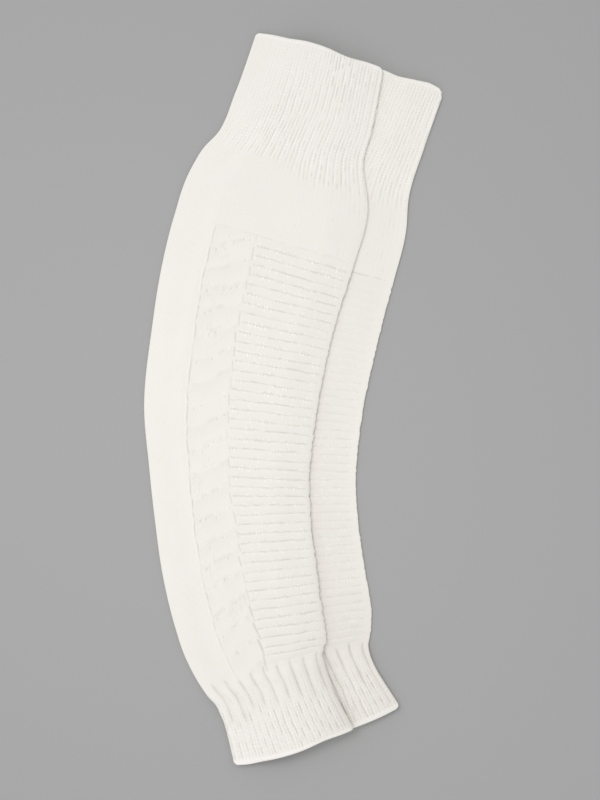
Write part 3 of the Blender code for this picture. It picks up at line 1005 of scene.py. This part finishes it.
def wool_material(name, colour):
    settings = {
        "Roughness": 0.95,
        "Specular IOR Level": 0.15,
        "Sheen Weight": 0.10,
        "Sheen Roughness": 0.5,
        "Sheen Tint": (1.0, 0.98, 0.95, 1.0),
    }
    material, shader = shaded_material(name, settings)
    nodes = Nodes(material.node_tree)
    math = nodes.math
    stitches = stitch_height(nodes)
    place = nodes.add("ShaderNodeTexCoord").outputs["Object"]
    fibre = nodes.noise(place, FIBRE_SCALE, 3.0)
    patches = nodes.noise(place, MOTTLE_SCALE, 4.0)

    # painted shade: deep in the grooves and between the strands the wool's colour is darker
    shade = nodes.add("ShaderNodeAttribute", attribute_name="shade").outputs["Fac"]
    shown = nodes.add("ShaderNodeAttribute", attribute_name="stitch").outputs["Fac"]
    between = math("MULTIPLY", math("MULTIPLY", math("SUBTRACT", 0.6, stitches), BETWEEN), shown)
    uneven = math("MULTIPLY", math("SUBTRACT", patches, 0.3), MOTTLE)
    even = math("ADD", math("MULTIPLY", math("SUBTRACT", 1.0, shown), EVEN), FACE)
    shade = math("ADD", math("ADD", shade, between), math("ADD", uneven, even))
    mix = nodes.add("ShaderNodeMix", data_type="RGBA", clamp_factor=True)
    face, darkest = [socket for socket in mix.inputs if socket.type == "RGBA"]
    face.default_value = (*colour, 1.0)
    darkest.default_value = (*(share * channel for share, channel in zip(GROOVE_SHADE, colour)), 1.0)
    nodes.link(shade, mix.inputs["Factor"])
    mixed = [socket for socket in mix.outputs if socket.type == "RGBA"][0]
    nodes.link(mixed, shader.inputs["Base Color"])

    bump = nodes.add("ShaderNodeBump")
    bump.inputs["Strength"].default_value = 1.0
    bump.inputs["Distance"].default_value = STITCH_HEIGHT
    fibre = math("MULTIPLY", fibre, FIBRE_HEIGHT)
    height = math("ADD", math("MULTIPLY", stitches, shown), fibre)
    nodes.link(height, bump.inputs["Height"])
    nodes.link(bump.outputs[0], shader.inputs["Normal"])
    return material


# ---- floor, light and camera

PICTURE_HEIGHT = 0.56  # of the floor that the camera sees
LENS = 85.0  # millimetres, on a 36 mm frame
FRAME_SIDE = 36.0
FLOOR_GREY = 0.40
FLOOR_SIZE = 40.0
STUDIO_LIGHT = 0.81  # even, from all round
LAMP_POWER = 39.5  # watts
LAMP_CONE = radians(46)
LAMP_RADIUS = 0.50
LAMP_PLACE = (-0.74, 0.52, 1.45)
LAMP_AIM = (-0.05, -0.07, 0.0)


def make_floor():
    half = FLOOR_SIZE / 2
    mesh = bpy.data.meshes.new("floor")
    corners = [(-half, -half, 0.0), (half, -half, 0.0), (half, half, 0.0), (-half, half, 0.0)]
    mesh.from_pydata(corners, [], [(0, 1, 2, 3)])
    grey = (FLOOR_GREY, FLOOR_GREY, FLOOR_GREY, 1.0)
    settings = {"Base Color": grey, "Roughness": 0.95, "Specular IOR Level": 0.1}
    mesh.materials.append(shaded_material("floor_paper", settings)[0])
    placed("floor", mesh)


def make_light():
    world = bpy.data.worlds.new("studio")
    bpy.context.scene.world = world
    world.use_nodes = True
    background = world.node_tree.nodes["Background"]
    background.inputs["Color"].default_value = (1.0, 1.0, 1.0, 1.0)
    background.inputs["Strength"].default_value = STUDIO_LIGHT
    # a soft lamp from the upper left, so that the relief of the knit shows
    data = bpy.data.lights.new("key", "SPOT")
    data.energy = LAMP_POWER
    data.spot_size = LAMP_CONE
    data.spot_blend = 1.0
    data.shadow_soft_size = LAMP_RADIUS
    lamp = placed("key", data)
    lamp.location = LAMP_PLACE
    # its cone is weaker towards its rim, and is aimed low so that both ends are lit alike
    lamp.rotation_euler = (Vector(LAMP_AIM) - lamp.location).to_track_quat("-Z", "Y").to_euler()
    lamp.visible_camera = False


def make_camera(middle):
    data = bpy.data.cameras.new("camera")
    data.lens = LENS
    data.sensor_width = FRAME_SIDE
    data.clip_start = 0.05
    camera = placed("camera", data)
    distance = PICTURE_HEIGHT / 2 / np.tan(atan(FRAME_SIDE / 2 / LENS))
    camera.location = (-middle[0], -middle[1], distance + LAID)
    bpy.context.scene.camera = camera


def main():
    middle = layout_middle()
    make_camera(middle)
    make_floor()
    make_light()
    bpy.context.scene.view_settings.view_transform = "Standard"
    near, rear = Stocking("near", middle), Stocking("rear", middle)
    rear.fold_above = near.right_fold()
    for stocking in (near, rear):
        wool = wool_material(f"{stocking.name}_wool", stocking.look.colour)
        for piece in PIECES:
            knit(piece, stocking, wool)


main()
